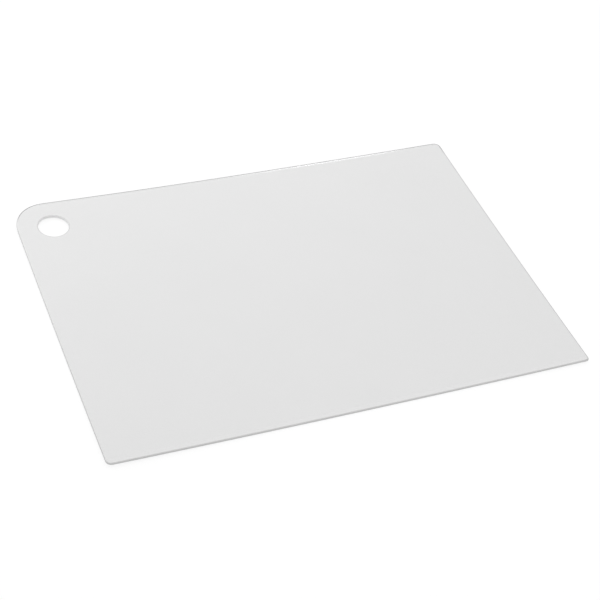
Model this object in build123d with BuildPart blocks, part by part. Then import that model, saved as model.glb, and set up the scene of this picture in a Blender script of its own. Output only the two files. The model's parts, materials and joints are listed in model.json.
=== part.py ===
from build123d import *
import os

os.makedirs("parts", exist_ok=True)

# A flexible cutting mat, in millimetres. It is one thin plastic sheet with a
# round hanging hole in its largest corner. The sheet lies flat with its
# underside at Z = 0 and its centre over the origin. X runs along the long
# edges, Y from the front edge to the back edge. In use the long edges are
# lifted so that the sheet becomes a chute, and the sheet then bends along
# lines parallel to X. It is divided at those bend lines into strips that
# meet face to face.

# Sheet
mat_length = 350.0
mat_depth = 250.0
mat_thickness = 2.0
edge_round_share = 0.35  # of the thickness, round the outer edges
rim_round_share = 0.2  # of the thickness, round the rim of the hole

# Corners, seen from above
front_left_radius = 4.0
front_right_radius = 2.0
back_right_radius = 5.0
hanging_corner_radius = 24.0

# Hanging hole in the back left corner
hole_radius = 11.0
hole_from_left = 26.0
hole_from_back = 26.0
hole_to_bend_line = 10.0  # flat sheet left between the hole and the nearest bend line

# Strips that bend: one in the centre and as many again on each side of it.
# Outside them lies a wider strip along each long edge, where the hands hold.
strips_each_side = 4

# Sizes that follow
front_edge_y = -mat_depth / 2
back_edge_y = mat_depth / 2
left_edge_x = -mat_length / 2
right_edge_x = mat_length / 2
edge_round = edge_round_share * mat_thickness
rim_round = rim_round_share * mat_thickness
hole_x = left_edge_x + hole_from_left
hole_y = back_edge_y - hole_from_back
edge_strip_depth = hole_from_back + hole_radius + hole_to_bend_line
bending_strips = 2 * strips_each_side + 1
bending_strip_depth = (mat_depth - 2 * edge_strip_depth) / bending_strips
first_bend_y = front_edge_y + edge_strip_depth

# Whole sheet, as it is cut and rounded before it bends
corner_radii = {
    (left_edge_x, front_edge_y): front_left_radius,
    (right_edge_x, front_edge_y): front_right_radius,
    (right_edge_x, back_edge_y): back_right_radius,
    (left_edge_x, back_edge_y): hanging_corner_radius,
}

with BuildPart() as sheet:
    with BuildSketch(Plane.XY) as outline:
        Rectangle(mat_length, mat_depth)
        for corner, radius in corner_radii.items():
            fillet(outline.vertices().sort_by_distance(corner)[0], radius=radius)
    extrude(amount=mat_thickness)
    faces_down_to_up = sheet.faces().filter_by(Axis.Z).sort_by(Axis.Z)
    underside = faces_down_to_up[0]
    cutting_face = faces_down_to_up[-1]
    fillet(underside.outer_wire().edges() + cutting_face.outer_wire().edges(), radius=edge_round)
    with Locations((hole_x, hole_y, mat_thickness)):
        Hole(radius=hole_radius)
    faces_down_to_up = sheet.faces().filter_by(Axis.Z).sort_by(Axis.Z)
    rims = [face.inner_wires()[0] for face in (faces_down_to_up[0], faces_down_to_up[-1])]
    fillet([edge for rim in rims for edge in rim.edges()], radius=rim_round)


# Strips, from the front edge to the back edge
def cut_strip(label, front_bend_y, back_bend_y):
    """Keep the sheet between two bend lines. An outer edge of the mat has no bend line."""
    with BuildPart() as strip:
        add(sheet.part)
        if front_bend_y is not None:
            split(bisect_by=Plane.XZ.offset(-front_bend_y), keep=Keep.BOTTOM)
        if back_bend_y is not None:
            split(bisect_by=Plane.XZ.offset(-back_bend_y), keep=Keep.TOP)
    strip.part.label = label
    export_step(strip.part, f"parts/{label}.step")
    return strip.part


front_labels = [f"front_strip_{number}" for number in range(strips_each_side, 0, -1)]
back_labels = [f"back_strip_{number}" for number in range(1, strips_each_side + 1)]
labels = ["front_edge_strip", *front_labels, "centre_strip", *back_labels, "back_edge_strip"]

bend_lines = [first_bend_y + number * bending_strip_depth for number in range(bending_strips + 1)]
limits = [None, *bend_lines, None]

strips = []
for label, front_bend_y, back_bend_y in zip(labels, limits[:-1], limits[1:]):
    strips.append(cut_strip(label, front_bend_y, back_bend_y))

# What the sheet and its strips measure
print(f"edge strips {edge_strip_depth:.3f} mm deep, bending strips {bending_strip_depth:.3f} mm deep")
print("bend lines at Y =", ", ".join(f"{y:.3f}" for y in bend_lines))
print(f"hole centre at {hole_x:.3f}, {hole_y:.3f}, straight wall {mat_thickness - 2 * rim_round:.3f} mm")
print(f"sheet {sheet.part.volume:.3f} mm3, strips together {sum(s.volume for s in strips):.3f} mm3")
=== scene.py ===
import json
import math

import bmesh
import bpy
from mathutils import Matrix, Vector


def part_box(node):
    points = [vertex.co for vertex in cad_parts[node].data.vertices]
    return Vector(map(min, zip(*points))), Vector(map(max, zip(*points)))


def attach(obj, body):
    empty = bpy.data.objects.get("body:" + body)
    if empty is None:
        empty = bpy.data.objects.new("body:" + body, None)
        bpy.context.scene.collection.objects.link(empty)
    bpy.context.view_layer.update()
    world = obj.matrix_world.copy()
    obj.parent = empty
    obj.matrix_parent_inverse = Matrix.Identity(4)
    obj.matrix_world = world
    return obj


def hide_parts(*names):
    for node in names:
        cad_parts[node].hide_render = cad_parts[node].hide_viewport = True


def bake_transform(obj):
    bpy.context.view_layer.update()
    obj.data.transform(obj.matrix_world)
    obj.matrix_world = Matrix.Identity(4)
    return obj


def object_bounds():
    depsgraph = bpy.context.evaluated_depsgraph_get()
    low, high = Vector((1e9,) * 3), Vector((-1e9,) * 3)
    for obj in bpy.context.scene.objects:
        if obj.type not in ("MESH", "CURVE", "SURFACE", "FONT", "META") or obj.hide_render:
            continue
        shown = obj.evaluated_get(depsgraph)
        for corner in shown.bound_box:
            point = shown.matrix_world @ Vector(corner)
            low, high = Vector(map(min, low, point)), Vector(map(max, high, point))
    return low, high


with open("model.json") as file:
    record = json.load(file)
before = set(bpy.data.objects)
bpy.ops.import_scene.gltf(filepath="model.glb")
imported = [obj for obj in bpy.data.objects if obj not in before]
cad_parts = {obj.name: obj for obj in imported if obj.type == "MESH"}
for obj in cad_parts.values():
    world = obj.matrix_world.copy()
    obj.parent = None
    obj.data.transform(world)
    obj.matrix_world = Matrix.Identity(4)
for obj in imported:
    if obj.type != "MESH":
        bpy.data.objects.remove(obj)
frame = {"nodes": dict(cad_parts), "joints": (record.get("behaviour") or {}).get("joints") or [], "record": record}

# All places are in metres, in the mat's own frame: X along the long edges, Y to the back, Z up.
cadLow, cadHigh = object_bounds()
scene = bpy.context.scene
print("frame loaded:", ", ".join(sorted(frame["nodes"])))


# Node maths

class Wire:  # an output socket that can stand in a plain sum
    def __init__(self, board, socket):
        self.board = board
        self.socket = socket

    def maths(self, operation, first, second):
        return self.board.node("ShaderNodeMath", {"operation": operation}, {0: first, 1: second})

    def __add__(self, other):
        return self.maths("ADD", self, other)

    def __radd__(self, other):
        return self.maths("ADD", other, self)

    def __sub__(self, other):
        return self.maths("SUBTRACT", self, other)

    def __rsub__(self, other):
        return self.maths("SUBTRACT", other, self)

    def __mul__(self, other):
        return self.maths("MULTIPLY", self, other)

    def __rmul__(self, other):
        return self.maths("MULTIPLY", other, self)


class Board:  # a node tree, emptied and ready to be filled
    def __init__(self, owner):
        owner.use_nodes = True
        self.tree = owner.node_tree
        self.tree.nodes.clear()

    def node(self, kind, settings, sockets, output=0):
        made = self.tree.nodes.new(kind)
        for name, value in settings.items():
            setattr(made, name, value)
        for name, value in sockets.items():
            if isinstance(value, Wire):
                self.tree.links.new(value.socket, made.inputs[name])
            else:
                made.inputs[name].default_value = value
        return Wire(self, made.outputs[output]) if made.outputs else None

    def fade(self, value, full, gone):
        # 1 at full and beyond it, 0 at gone and beyond that, and smooth between the two
        sockets = {"Value": value, "From Min": gone, "From Max": full}
        return self.node("ShaderNodeMapRange", {"interpolation_type": "SMOOTHSTEP"}, sockets)


def grey(level):
    return (level, level, level, 1.0)


# Camera, at the photograph's viewing angle

cameraLook = {
    "place": (-0.36467, -0.68804, 0.72021),
    "azimuth": -28.377,     # degrees; 0 looks along +Y
    "elevation": 43.274,
    "roll": 9.654,
    "lens": 89.005,         # millimetres on a 36 mm wide sensor
    "sensor": 36.0,
}


def makeCamera():
    azimuth = math.radians(cameraLook["azimuth"])
    elevation = math.radians(cameraLook["elevation"])
    roll = math.radians(cameraLook["roll"])
    back = Vector((math.sin(azimuth) * math.cos(elevation),
                   -math.cos(azimuth) * math.cos(elevation),
                   math.sin(elevation)))
    level = Vector((math.cos(azimuth), math.sin(azimuth), 0.0))
    upright = back.cross(level)
    right = math.cos(roll) * level + math.sin(roll) * upright
    up = math.cos(roll) * upright - math.sin(roll) * level
    data = bpy.data.cameras.new("camera")
    data.lens = cameraLook["lens"]
    data.sensor_width = cameraLook["sensor"]
    camera = bpy.data.objects.new("camera", data)
    turn = Matrix((right, up, back)).transposed()
    camera.matrix_world = Matrix.Translation(cameraLook["place"]) @ turn.to_4x4()
    scene.collection.objects.link(camera)
    scene.camera = camera


makeCamera()
print("camera placed")


# Sheet of the mat

sheet = {
    # each corner goes by the signs of its X and Y
    "cornerRadius": {(-1, -1): 0.004, (1, -1): 0.002, (1, 1): 0.005, (-1, 1): 0.024},
    "cornerLift": {(-1, -1): 0.0016, (1, -1): 0.0010, (1, 1): 0.0013, (-1, 1): 0.0024},
    "edgeRound": 0.0007,      # round of the outer edges
    "rimRound": 0.0004,       # round of the hole's two rims
    "roundSteps": 3,          # points on each of those rounds
    "rollDepth": 0.0002,      # how far the upper face dips at the long edges
    "rollReach": 0.0038,      # how far in from them the dip starts
    # mesh lines along the edges, by their distance from them
    "nearEdge": (0.0007, 0.0013, 0.0020, 0.0029, 0.0040, 0.0050),
    "holeBlockSteps": 10,     # steps across the block of mesh round the hole
    "middleSteps": 14,        # and from there to the lines of the right edge
    "edgeStripSteps": 7,      # across a long edge's strip
    # mesh rings round the hole, as shares of the way from its rim to its block's border
    "ringShares": (0.0, 0.06, 0.14, 0.26, 0.55),
    "ringTurn": math.radians(6.0),
    # mesh rows over a hinge, in strip depths from it, and those over the outermost hinge
    "bendRows": (-1 / 2, -1 / 4, 1 / 4, 1 / 2),
    "lastBendRows": (-1 / 2, -1 / 4, 1 / 6, 1 / 3),
    "subdivisions": 2,
}

halfLength = cadHigh.x
halfDepth = cadHigh.y
thickness = cadHigh.z
holeMount = next(m for m in frame["record"]["mounts"] if m["name"] == "hanging_hole")
holeCentre = Vector(holeMount["pos_m"])
holeRadius = holeMount["dims"]["r_mm"] / 1000
holeBlockStart = sheet["nearEdge"][-1] - halfLength
holeBlockEnd = 2 * holeCentre.x - holeBlockStart
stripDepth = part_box("centre_strip")[1].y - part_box("centre_strip")[0].y


def evenly(first, last, steps):
    return [first + (last - first) * step / steps for step in range(steps + 1)]


def meshColumns():
    left = [distance - halfLength for distance in sheet["nearEdge"]]
    block = evenly(holeBlockStart, holeBlockEnd, sheet["holeBlockSteps"])
    right = [-x for x in reversed(left)]
    middle = evenly(holeBlockEnd, right[0], sheet["middleSteps"])
    return left[:-1] + block + middle[1:] + right[1:]


columns = meshColumns()
lastColumn = len(columns) - 1
firstHoleColumn = len(sheet["nearEdge"]) - 1
lastHoleColumn = firstHoleColumn + sheet["holeBlockSteps"]


def lift(x, y):
    # how far the sheet rises off the table, most at its corners
    corner = (1 if x > 0 else -1, 1 if y > 0 else -1)
    return sheet["cornerLift"][corner] * (x / halfLength) ** 2 * (y / halfDepth) ** 2


def settle(x, y):
    # moves a point of the square grid onto the sheet with its round corners,
    # and gives the outward direction there
    for (sideX, sideY), radius in sheet["cornerRadius"].items():
        centre = Vector((sideX * (halfLength - radius), sideY * (halfDepth - radius)))
        across = (x - centre.x) * sideX / radius
        along = (y - centre.y) * sideY / radius
        if across > 0 and along > 0:
            turn = math.pi / 4 * min(across, along) / max(across, along)
            angle = turn if across >= along else math.pi / 2 - turn
            outward = Vector((sideX * math.cos(angle), sideY * math.sin(angle)))
            return centre + outward * max(across, along) * radius, outward
    return Vector((x, y)), None


def fromEdge(x, y):
    # how far a point of the square grid ends up from the outline
    return min(halfLength - abs(x), halfDepth - abs(y))


def rollOff(y, z):
    # the upper face dips towards the two long edges, which the rollers that made
    # the sheet have pressed thinner
    inside = max(halfDepth - abs(y), sheet["edgeRound"])
    aboveMiddle = max(0.0, 2 * z / thickness - 1)
    return sheet["rollDepth"] * max(0.0, 1 - inside / sheet["rollReach"]) ** 2 * aboveMiddle


def roundProfile(size):
    # points from the upper face over the edge to the lower face:
    # how far out of the upper face's border, and how high
    steps = sheet["roundSteps"]
    angles = [math.pi / 2 * step / steps for step in range(1, steps + 1)]
    upper = [(size * math.sin(a), thickness - size * (1 - math.cos(a))) for a in angles]
    lower = [(out, thickness - height) for out, height in reversed(upper)]
    return upper + lower


class SheetMesh:  # a stretch of the sheet: two faces, wall, inner ends and perhaps the hole
    def __init__(self, name, rows, outerSide=0, holeRows=0):
        self.name = name
        self.rows = rows
        self.outerSide = outerSide      # -1 or 1 where the last row is the mat's front or back edge
        self.holeRows = holeRows        # rows of the block of mesh round the hole
        self.bm = bmesh.new()
        self.inside = self.bm.verts.layers.float.new("inside")
        self.spots = {}
        self.grid = {}

    def put(self, key, x, y, z, inside):
        # inside is how far the spot is from the nearest edge
        spot = self.bm.verts.new((x, y, z - rollOff(y, z) + lift(x, y)))
        spot[self.inside] = inside
        self.spots[key] = spot

    def quad(self, *keys):
        self.bm.faces.new([self.spots[key] for key in keys])

    def inHoleBlock(self, column, row):
        return firstHoleColumn < column < lastHoleColumn and 0 < row < self.holeRows

    def makeFaces(self):
        for column, x in enumerate(columns):
            for row, y in enumerate(self.rows):
                place, outward = settle(x, y)
                self.grid[column, row] = place, outward
                if not self.inHoleBlock(column, row):
                    self.put(("upper", column, row), place.x, place.y, thickness, fromEdge(x, y))
                    self.put(("lower", column, row), place.x, place.y, 0.0, fromEdge(x, y))
        for face in ("upper", "lower"):
            for column in range(lastColumn):
                for row in range(len(self.rows) - 1):
                    if firstHoleColumn <= column < lastHoleColumn and row < self.holeRows:
                        continue
                    around = ((0, 0), (1, 0), (1, 1), (0, 1))
                    self.quad(*[(face, column + right, row + up) for right, up in around])

    def outline(self):
        # the outer edges of this stretch: column, row and outward direction of their points
        lastRow = len(self.rows) - 1
        left = [(0, row, Vector((-1, 0))) for row in range(lastRow + 1)]
        right = [(lastColumn, row, Vector((1, 0))) for row in range(lastRow + 1)]
        if not self.outerSide:
            return [left, right]
        outer = [(column, lastRow, Vector((0, self.outerSide))) for column in range(1, lastColumn)]
        return [left + outer + right[::-1]]

    def makeWall(self):
        profile = roundProfile(sheet["edgeRound"])
        for path in self.outline():
            stacks = []
            for column, row, side in path:
                place, outward = self.grid[column, row]
                outward = outward or side
                stack = [("upper", column, row)]
                for step, (out, height) in enumerate(profile):
                    spot = place + outward * out
                    key = ("wall", column, row, step)
                    self.put(key, spot.x, spot.y, height, sheet["edgeRound"] - out)
                    stack.append(key)
                stacks.append(stack + [("lower", column, row)])
            self.joinStacks(stacks)

    def joinStacks(self, stacks):
        for first, second in zip(stacks, stacks[1:]):
            for step in range(len(first) - 1):
                self.quad(first[step], second[step], second[step + 1], first[step + 1])

    def wallPairs(self, column, row):
        # the upper and the lower point of each step of the wall, from the faces outwards
        lowest = 2 * sheet["roundSteps"] - 1
        return [(("wall", column, row, step), ("wall", column, row, lowest - step))
                for step in range(sheet["roundSteps"])]

    def makeEnds(self):
        # closes the stretch where the next one follows; these faces lie inside the sheet,
        # and their borders are creased, so that both stretches keep the same outline there
        crease = self.bm.edges.layers.float.new("crease_edge")
        for row in (0,) if self.outerSide else (0, len(self.rows) - 1):
            pairs = [(("upper", column, row), ("lower", column, row))
                     for column in range(len(columns))]
            pairs = self.wallPairs(0, row)[::-1] + pairs + self.wallPairs(lastColumn, row)
            for first, second in zip(pairs, pairs[1:]):
                self.quad(first[0], second[0], second[1], first[1])
            border = [pair[0] for pair in pairs] + [pair[1] for pair in reversed(pairs)]
            for first, second in zip(border, border[1:] + border[:1]):
                edge = self.bm.edges.get((self.spots[first], self.spots[second]))
                edge[crease] = 1.0
                edge.smooth = False

    def makeHole(self):
        border = [(column, 0) for column in range(firstHoleColumn, lastHoleColumn)]
        border += [(lastHoleColumn, row) for row in range(self.holeRows)]
        border += [(column, self.holeRows) for column in range(lastHoleColumn, firstHoleColumn, -1)]
        border += [(firstHoleColumn, row) for row in range(self.holeRows, 0, -1)]
        count = len(border)
        tight = 3 / (2 + math.cos(2 * math.pi / count))     # undoes what the subdivision draws in
        first = self.grid[border[0]][0] - holeCentre.xy
        start = math.atan2(first.y, first.x) + sheet["ringTurn"]
        profile = roundProfile(sheet["rimRound"])
        rimRadius = holeRadius + sheet["rimRound"]
        stacks = []
        for number, spot in enumerate(border):
            angle = start + 2 * math.pi * number / count
            outward = Vector((math.cos(angle), math.sin(angle)))
            rim = holeCentre.xy + outward * rimRadius * tight
            stack = [("upper", *spot)]
            for share in reversed(sheet["ringShares"]):
                place = rim.lerp(self.grid[spot][0], share)
                inside = (place - holeCentre.xy).length - holeRadius
                self.put(("upper ring", number, share), place.x, place.y, thickness, inside)
                self.put(("lower ring", number, share), place.x, place.y, 0.0, inside)
                stack.append(("upper ring", number, share))
            for step, (out, height) in enumerate(profile):
                place = holeCentre.xy + outward * (rimRadius - out) * tight
                self.put(("hole", number, step), place.x, place.y, height, sheet["rimRound"] - out)
                stack.append(("hole", number, step))
            stack += [("lower ring", number, share) for share in sheet["ringShares"]]
            stacks.append(stack + [("lower", *spot)])
        self.joinStacks(stacks + stacks[:1])

    def finish(self, material):
        self.makeFaces()
        self.makeWall()
        self.makeEnds()
        if self.holeRows:
            self.makeHole()
        bmesh.ops.recalc_face_normals(self.bm, faces=self.bm.faces)
        for face in self.bm.faces:
            face.smooth = True
        data = bpy.data.meshes.new(self.name)
        self.bm.to_mesh(data)
        self.bm.free()
        # the flat sheet's own places, so that the grain stays where it is when the mat bends
        place = data.attributes.new("restPlace", "FLOAT_VECTOR", "POINT")
        place.data.foreach_set("vector", [c for vertex in data.vertices for c in vertex.co])
        data.materials.append(material)
        piece = bpy.data.objects.new(self.name, data)
        scene.collection.objects.link(piece)
        smooth = piece.modifiers.new("smooth", "SUBSURF")
        smooth.levels = smooth.render_levels = sheet["subdivisions"]
        return piece


# Plastic of the sheet

plastic = {
    "light": 0.789,             # the face lies between these two
    "dark": 0.759,
    "roughness": 0.47,
    "roughnessSpread": 0.06,
    "ior": 1.5,
    # the moulded grain, the wider waves of the face and its slow clouds: how wide, how high,
    # and how strongly they change the tone
    "grainSize": 0.00025,
    "grainHeight": 0.000006,
    "grainTone": 3.5,
    "grainDetail": 2.0,
    "peelSize": 0.004,
    "peelHeight": 0.0000025,
    "peelDetail": 1.0,
    "cloudSize": 0.06,
    "cloudTone": 0.7,
    "cloudDetail": 3.0,
    "noiseRoughness": 0.55,
    "noiseMiddle": 0.5,
    # the cut wall, up to this far in from the edge: outer edges darker (painted shade), hole lighter (painted
    # light)
    "cut": 0.70,
    "cutHole": 0.95,
    "cutReach": 0.0003,
    "cutRoughness": 0.9,
    # the thin dark line where the wall turns into the face is painted shade, standing in for the contact
    # shadow and the dark rounded edge: full up to the first distance from the edge, and gone at the second
    "line": 0.36,
    "frontLine": (0.0005, 0.0010),
    "leftLine": (0.0001, 0.0006),
    "rightLine": (0.0006, 0.0012),
    "backLine": (0.00075, 0.00135),
    "lineShare": 0.33,          # its strength at the front and on the left, where the back's is 1
    "lineShareAtRight": 0.60,
    "lineShareAtHole": 0.34,
    # how far in from an edge its own painted shade line holds, and where another edge's has replaced it
    "backReach": (0.004, 0.020),
    "sideReach": (0.002, 0.004),
    "holeReach": (0.002, 0.005),
    # the long edges are smoother where the face dips
    "rolledRoughness": 0.18,
    "rolledReach": (0.0024, 0.0032),
}


def makePlastic():
    material = bpy.data.materials.new("sheetPlastic")
    board = Board(material)

    def noise(kind):
        sockets = {"Vector": place, "Scale": 1 / plastic[kind + "Size"],
                   "Detail": plastic[kind + "Detail"], "Roughness": plastic["noiseRoughness"]}
        return board.node("ShaderNodeTexNoise", {}, sockets, "Fac")

    def mixColour(factor, first, second):
        sockets = {"Factor": factor, 6: first, 7: second}   # a Mix node's colours are 6 and 7
        return board.node("ShaderNodeMix", {"data_type": "RGBA"}, sockets, 2)

    def mixValue(factor, first, second):
        sockets = {"Factor": factor, 2: first, 3: second}   # and its values 2 and 3
        return board.node("ShaderNodeMix", {"data_type": "FLOAT"}, sockets)

    # where the point is on the sheet
    place = board.node("ShaderNodeAttribute", {"attribute_name": "restPlace"}, {}, "Vector")
    inside = board.node("ShaderNodeAttribute", {"attribute_name": "inside"}, {}, "Fac")
    fromRight = halfLength - board.node("ShaderNodeSeparateXYZ", {}, {0: place}, "X")
    fromBack = halfDepth - board.node("ShaderNodeSeparateXYZ", {}, {0: place}, "Y")
    fromLongEdge = board.node("ShaderNodeMath", {"operation": "MINIMUM"},
                              {0: fromBack, 1: 2 * halfDepth - fromBack})
    toHole = board.node("ShaderNodeVectorMath", {"operation": "DISTANCE"},
                        {0: place, 1: holeCentre}, "Value")
    atBack = board.fade(fromBack, *plastic["backReach"])
    atRight = board.fade(fromRight, *plastic["sideReach"])
    atLeft = board.fade(2 * halfLength - fromRight, *plastic["sideReach"])
    nearHole = board.fade(toHole, *[holeRadius + reach for reach in plastic["holeReach"]])
    rolled = board.fade(fromLongEdge, *plastic["rolledReach"])
    wall = board.fade(inside, 0.0, plastic["cutReach"])

    # how strong the painted shade line is there
    frontLine, leftLine, rightLine, backLine = (
        board.fade(inside, *plastic[side + "Line"]) for side in ("front", "left", "right", "back"))
    leftOrFront = mixValue(atLeft, frontLine, leftLine) * plastic["lineShare"]
    sideShadeLine = mixValue(atRight, leftOrFront, rightLine * plastic["lineShareAtRight"])
    outerShadeLine = mixValue(atBack, sideShadeLine, backLine)
    line = mixValue(nearHole, outerShadeLine, frontLine * plastic["lineShareAtHole"])

    grain = noise("grain")
    peel = noise("peel")
    cloud = noise("cloud")
    middle = plastic["noiseMiddle"]
    grainTone = (grain - middle) * plastic["grainTone"]
    tone = middle + grainTone + (cloud - middle) * plastic["cloudTone"]
    faceColour = mixColour(tone, grey(plastic["light"]), grey(plastic["dark"]))
    # the cut wall's grey: painted shade on the outer edges, painted light in the hole
    wallShadeAndLight = mixColour(nearHole, grey(plastic["cut"]), grey(plastic["cutHole"]))
    # near the edges the face turns to the grey of the painted shade line
    colour = mixColour(wall, mixColour(line, faceColour, grey(plastic["line"])), wallShadeAndLight)
    faceRoughness = plastic["roughness"] + (cloud - middle) * plastic["roughnessSpread"]
    openRoughness = mixValue(rolled, faceRoughness, plastic["rolledRoughness"])
    roughness = mixValue(line, openRoughness, plastic["cutRoughness"])
    height = grain * plastic["grainHeight"] + peel * plastic["peelHeight"]
    bump = board.node("ShaderNodeBump", {}, {"Height": height, "Distance": 1.0}, "Normal")
    sockets = {"Base Color": colour, "Roughness": roughness, "Normal": bump, "IOR": plastic["ior"]}
    shader = board.node("ShaderNodeBsdfPrincipled", {}, sockets, "BSDF")
    board.node("ShaderNodeOutputMaterial", {}, {"Surface": shader})
    return material


sheetPlastic = makePlastic()
print("plastic made")


# Pieces of the sheet: one spans each hinge, and a stiff one ends each side. A spanning one has four rows,
# two on each side of its hinge, and its subdivided surface runs smoothly between them.

def edgeRows(seam, side):
    rows = [halfDepth - distance for distance in reversed(sheet["nearEdge"])]
    return [side * y for y in evenly(abs(seam), rows[0], sheet["edgeStripSteps"]) + rows[1:]]


def makeEdge(body, seam, side):
    name = "sheet_" + body.replace("_strip", "")
    holeRows = sheet["edgeStripSteps"] if side > 0 else 0
    piece = SheetMesh(name, edgeRows(seam, side), side, holeRows).finish(sheetPlastic)
    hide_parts(body)
    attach(piece, body)


def bendOver(joint):
    hinge = joint["pos_m"][1]
    side = 1 if hinge > 0 else -1
    outermost = joint["child"].endswith("edge_strip")
    shares = sheet["lastBendRows"] if outermost else sheet["bendRows"]
    rows = [hinge + side * share * stripDepth for share in shares]
    piece = SheetMesh("sheet_" + joint["name"], rows).finish(sheetPlastic)
    if not outermost:
        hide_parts(joint["child"])
    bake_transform(piece)
    if outermost:
        makeEdge(joint["child"], rows[-1], side)
    return piece


for joint in frame["joints"]:
    bent = bendOver(joint)
    if joint["name"] == "front_curl":
        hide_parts("centre_strip")


# Floor

floor = {
    "reach": 4.0,
    "below": 0.0001,        # how far it lies under the mat
    "bounce": 0.80,         # how pale the floor is for the light that it throws back
    "lit": 0.15,            # what the camera sees: the lit floor with the shadow on it,
    "white": 0.87,          # and this much white added
    "nearEnd": 0.45,        # at this distance from the mat's middle it begins to turn plain white,
    "farStart": 1.0,        # and at this one it has
}


def lookingRay(board):
    # the rays that see the background, straight on or in a reflection
    rays = ("Is Camera Ray", "Is Glossy Ray", "Is Transmission Ray")
    paths = [board.node("ShaderNodeLightPath", {}, {}, ray) for ray in rays]
    return paths[0] + paths[1] + paths[2]


def makeFloorPaper():
    material = bpy.data.materials.new("floorPaper")
    board = Board(material)
    bounced = board.node("ShaderNodeBsdfDiffuse", {}, {"Color": grey(floor["bounce"])})
    lit = board.node("ShaderNodeBsdfDiffuse", {}, {"Color": grey(floor["lit"])})
    white = board.node("ShaderNodeEmission", {}, {"Color": grey(1.0), "Strength": floor["white"]})
    near = board.node("ShaderNodeAddShader", {}, {0: lit, 1: white})
    plain = board.node("ShaderNodeEmission", {}, {"Color": grey(1.0), "Strength": 1.0})
    place = board.node("ShaderNodeNewGeometry", {}, {}, "Position")
    distance = board.node("ShaderNodeVectorMath", {"operation": "LENGTH"}, {0: place}, "Value")
    far = board.fade(distance, floor["farStart"], floor["nearEnd"])
    seen = board.node("ShaderNodeMixShader", {}, {0: far, 1: near, 2: plain})
    both = board.node("ShaderNodeMixShader", {}, {0: lookingRay(board), 1: bounced, 2: seen})
    board.node("ShaderNodeOutputMaterial", {}, {"Surface": both})
    return material


def makeFloor():
    bm = bmesh.new()
    reach = floor["reach"]
    corners = ((-reach, -reach), (reach, -reach), (reach, reach), (-reach, reach))
    bm.faces.new([bm.verts.new((x, y, -floor["below"])) for x, y in corners])
    data = bpy.data.meshes.new("floor")
    bm.to_mesh(data)
    bm.free()
    data.materials.append(makeFloorPaper())
    ground = bpy.data.objects.new("floor", data)
    scene.collection.objects.link(ground)


makeFloor()


# Light: an even room, a large soft lamp overhead, a low one at the back left
# and a small one behind the mat

room = {"strength": 0.592}
lamps = {
    "overhead": {
        "place": (0.31, 0.19, 1.28), "target": (0.31, 0.19, 0.0),
        "width": 1.6, "height": 1.6, "power": 7.58,
    },
    "softbox": {
        "place": (-0.415, 0.41, 0.275), "target": (0.0, 0.05, 0.0),
        "width": 0.5, "height": 0.3, "power": 0.78,
    },
    "backStrip": {
        "place": (0.565, 1.111, 0.683), "target": (0.07, 0.12, 0.0),
        "width": 0.2, "height": 0.15, "power": 0.55,
    },
}


def makeLamp(name, settings):
    data = bpy.data.lights.new(name, "AREA")
    data.shape = "RECTANGLE"
    data.size = settings["width"]
    data.size_y = settings["height"]
    data.energy = settings["power"]
    lamp = bpy.data.objects.new(name, data)
    lamp.location = settings["place"]
    aim = Vector(settings["target"]) - Vector(settings["place"])
    lamp.rotation_mode = "QUATERNION"
    lamp.rotation_quaternion = aim.to_track_quat("-Z", "Y")
    scene.collection.objects.link(lamp)


def makeRoom():
    world = bpy.data.worlds.new("room")
    board = Board(world)
    light = board.node("ShaderNodeBackground", {},
                       {"Color": grey(1.0), "Strength": room["strength"]})
    white = board.node("ShaderNodeBackground", {}, {"Color": grey(1.0), "Strength": 1.0})
    both = board.node("ShaderNodeMixShader", {}, {0: lookingRay(board), 1: light, 2: white})
    board.node("ShaderNodeOutputWorld", {}, {"Surface": both})
    scene.world = world


for lampName, lampSettings in lamps.items():
    makeLamp(lampName, lampSettings)
makeRoom()
scene.view_settings.view_transform = "Standard"
print("floor and light made")
